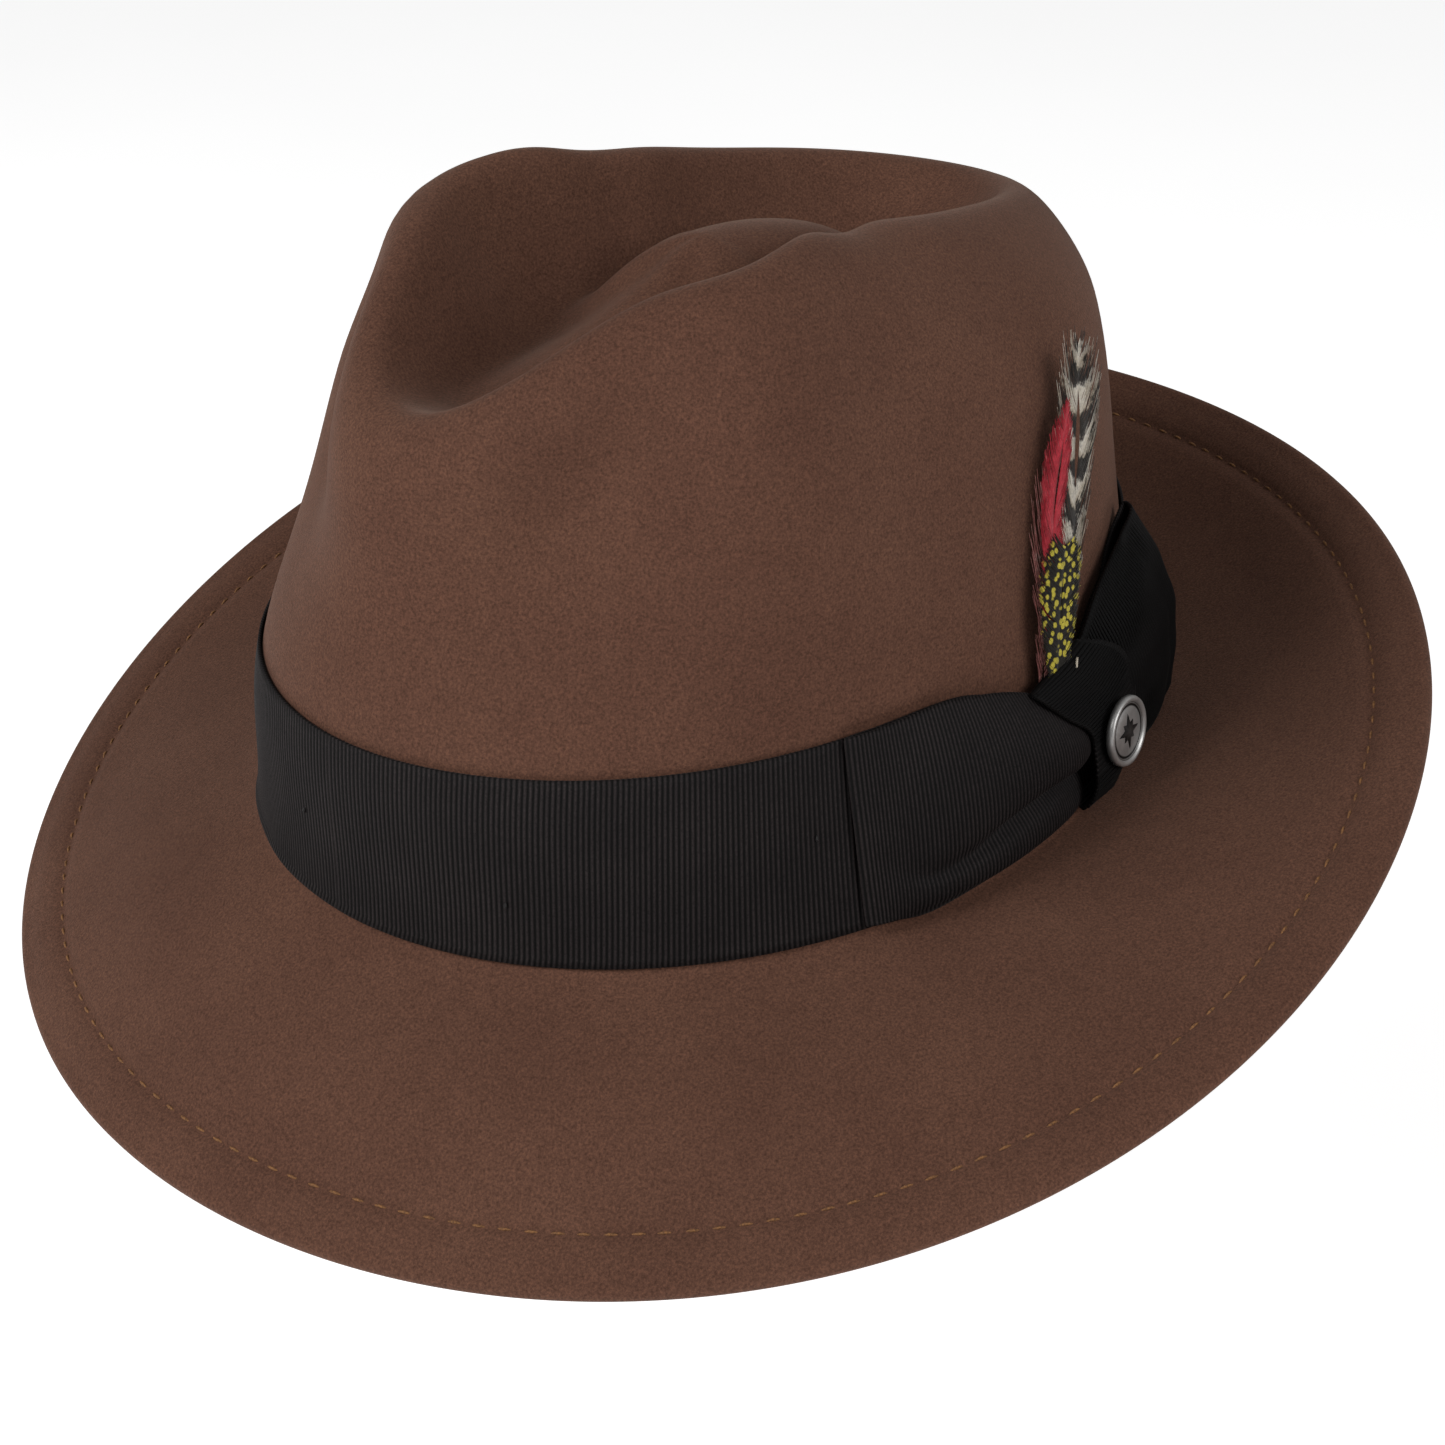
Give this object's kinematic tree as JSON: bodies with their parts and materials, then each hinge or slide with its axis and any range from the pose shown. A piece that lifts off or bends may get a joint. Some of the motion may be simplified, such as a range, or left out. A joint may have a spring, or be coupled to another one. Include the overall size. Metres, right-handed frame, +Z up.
{
  "type": "fedora hat",
  "caption": "Felt fedora with a pinched teardrop crown, snap brim with a stitched welt, ribbon band with side bow, round badge and feather spray.",
  "frame": {"origin": "middle of the head opening, level with the line where the crown breaks into the brim", "axes": "+X to the front of the hat, +Y to the wearer's left, +Z up out of the top of the crown"},
  "size_m": [0.3122, 0.3068, 0.1596],
  "materials": {
    "felt": "brushed wool felt with a short nap",
    "welt_thread": "twisted tan thread",
    "grosgrain": "ribbed black ribbon",
    "black_thread": "twisted black thread",
    "badge_metal": "antiqued silver plate",
    "pin_metal": "plain",
    "quill": "horny quill",
    "feather_pink": "soft barbs",
    "feather_barred": "barred hackle",
    "feather_red": "dyed barbs",
    "feather_spotted": "spotted barbs",
    "sweat_leather": "smooth tan leather",
    "reed_plastic": "plain",
    "sweat_thread": "twisted thread",
    "sweat_ribbon": "narrow ribbon",
    "lining_satin": "satin"
  },
  "bodies": {
    "hat": {"felt_crown": "felt", "brim_rear": "felt", "welt_stitching_rear": "welt_thread", "ribbon_band": "grosgrain", "ribbon_tacks": "black_thread", "bow_base": "grosgrain", "bow_front_wing": "grosgrain", "bow_rear_wing": "grosgrain", "bow_knot": "grosgrain", "bow_stitches": "black_thread", "badge_clutch": "pin_metal", "sweatband": "sweat_leather", "sweatband_reed": "reed_plastic", "sweatband_stitching": "sweat_thread", "sweatband_seam_tape": "sweat_leather", "sweatband_bow": "sweat_ribbon", "lining_side": "lining_satin", "lining_tip": "lining_satin"},
    "front_brim": {"brim_front": "felt", "welt_stitching_front": "welt_thread"},
    "badge": {"badge_face": "badge_metal", "badge_post": "pin_metal"},
    "feather_spray": {"feather_quill": "quill", "feather_wisps": "feather_pink", "feather_barred": "feather_barred", "feather_red": "feather_red", "feather_spotted": "feather_spotted"}
  },
  "joints": [
    {"name": "brim_snap", "type": "hinge", "parent": "hat", "child": "front_brim", "pos_m": [0.108, 0, 0.001], "axis": [0, -1, 0], "range_deg": [0, 55]},
    {"name": "badge_spin", "type": "hinge", "parent": "hat", "child": "badge", "pos_m": [-0.0347, 0.08502, 0.01586], "axis": [-0.1549, 0.9781, 0.1392], "continuous": true},
    {"name": "feather_pull", "type": "slide", "parent": "hat", "child": "feather_spray", "axis": [-0.338, -0.24, 0.91], "range_m": [0, 0.08]}
  ]
}
